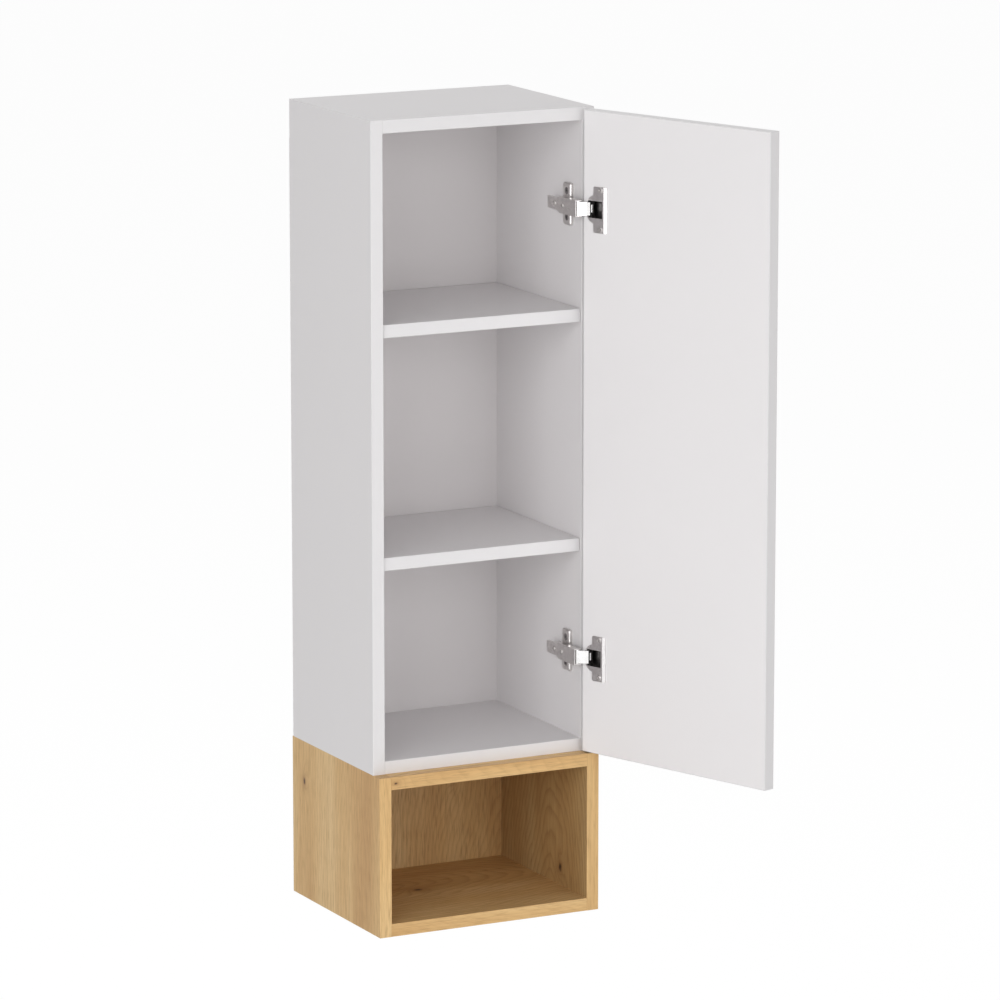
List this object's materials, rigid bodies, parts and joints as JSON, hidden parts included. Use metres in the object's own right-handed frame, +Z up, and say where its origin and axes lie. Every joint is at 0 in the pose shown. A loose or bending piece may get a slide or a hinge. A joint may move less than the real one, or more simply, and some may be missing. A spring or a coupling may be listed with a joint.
{
  "type": "bathroom wall cabinet",
  "caption": "Tall narrow wall-hung bathroom cabinet with one side-hinged door over shelves and an open wooden niche below.",
  "frame": {"origin": "on the wall plane, halfway between the two keyholes that hang on the wall screws", "axes": "+X to the right seen from the front, +Y towards the wall, +Z up"},
  "size_m": [0.3979, 0.5191, 1],
  "materials": {
    "white_board": "matte white melamine on chipboard",
    "white_edge": "matte white edge tape",
    "back_board": "white lacquered hardboard",
    "oak_board": "knotty oak decor, matte",
    "oak_edge": "oak decor edge tape, matte",
    "beech": "plain beech",
    "zinc": "bright zinc",
    "nickel": "satin nickel",
    "bright_nickel": "polished nickel",
    "cam_alloy": "die-cast zinc alloy"
  },
  "bodies": {
    "cabinet": {"back_nails": "zinc", "back_panel": "back_board", "carcase_bottom": "white_board", "carcase_cam_bolts": "zinc", "carcase_cams": "cam_alloy", "carcase_dowels": "beech", "carcase_edging": "white_edge", "carcase_side_left": "white_board", "carcase_side_right": "white_board", "carcase_top": "white_board", "hanger_left": "zinc", "hanger_right": "zinc", "hanger_screws": "zinc", "hinge_adjusting_screws": "bright_nickel", "hinge_arm_pins": "bright_nickel", "hinge_plate_screws": "bright_nickel", "joining_screws": "zinc", "lower_hinge_arm": "nickel", "lower_hinge_plate": "nickel", "lower_shelf": "white_board", "lower_shelf_pins": "zinc", "niche_back": "oak_board", "niche_bottom": "oak_board", "niche_cam_bolts": "zinc", "niche_cams": "cam_alloy", "niche_dowels": "beech", "niche_edging": "oak_edge", "niche_side_left": "oak_board", "niche_side_right": "oak_board", "niche_top": "oak_board", "shelf_edging": "white_edge", "upper_hinge_arm": "nickel", "upper_hinge_plate": "nickel", "upper_shelf": "white_board", "upper_shelf_pins": "zinc"},
    "hinge_links": {"lower_hinge_link": "bright_nickel", "upper_hinge_link": "bright_nickel"},
    "door": {"door_edging": "white_edge", "door_panel": "white_board", "hinge_cup_pins": "bright_nickel", "hinge_cup_screws": "bright_nickel", "lower_hinge_cup": "nickel", "upper_hinge_cup": "nickel"}
  },
  "joints": [
    {"name": "link_swing", "type": "hinge", "parent": "cabinet", "child": "hinge_links", "pos_m": [0.124, -0.241, -0.365], "axis": [0, 0, 1], "range_deg": [0, 28]},
    {"name": "door_swing", "type": "hinge", "parent": "hinge_links", "child": "door", "pos_m": [0.13915, -0.24679, -0.365], "axis": [0, 0, 1], "range_deg": [-138, 0]}
  ],
  "couplings": [
    {"joint": "link_swing", "follows": "door_swing", "ratio": -0.2029}
  ]
}
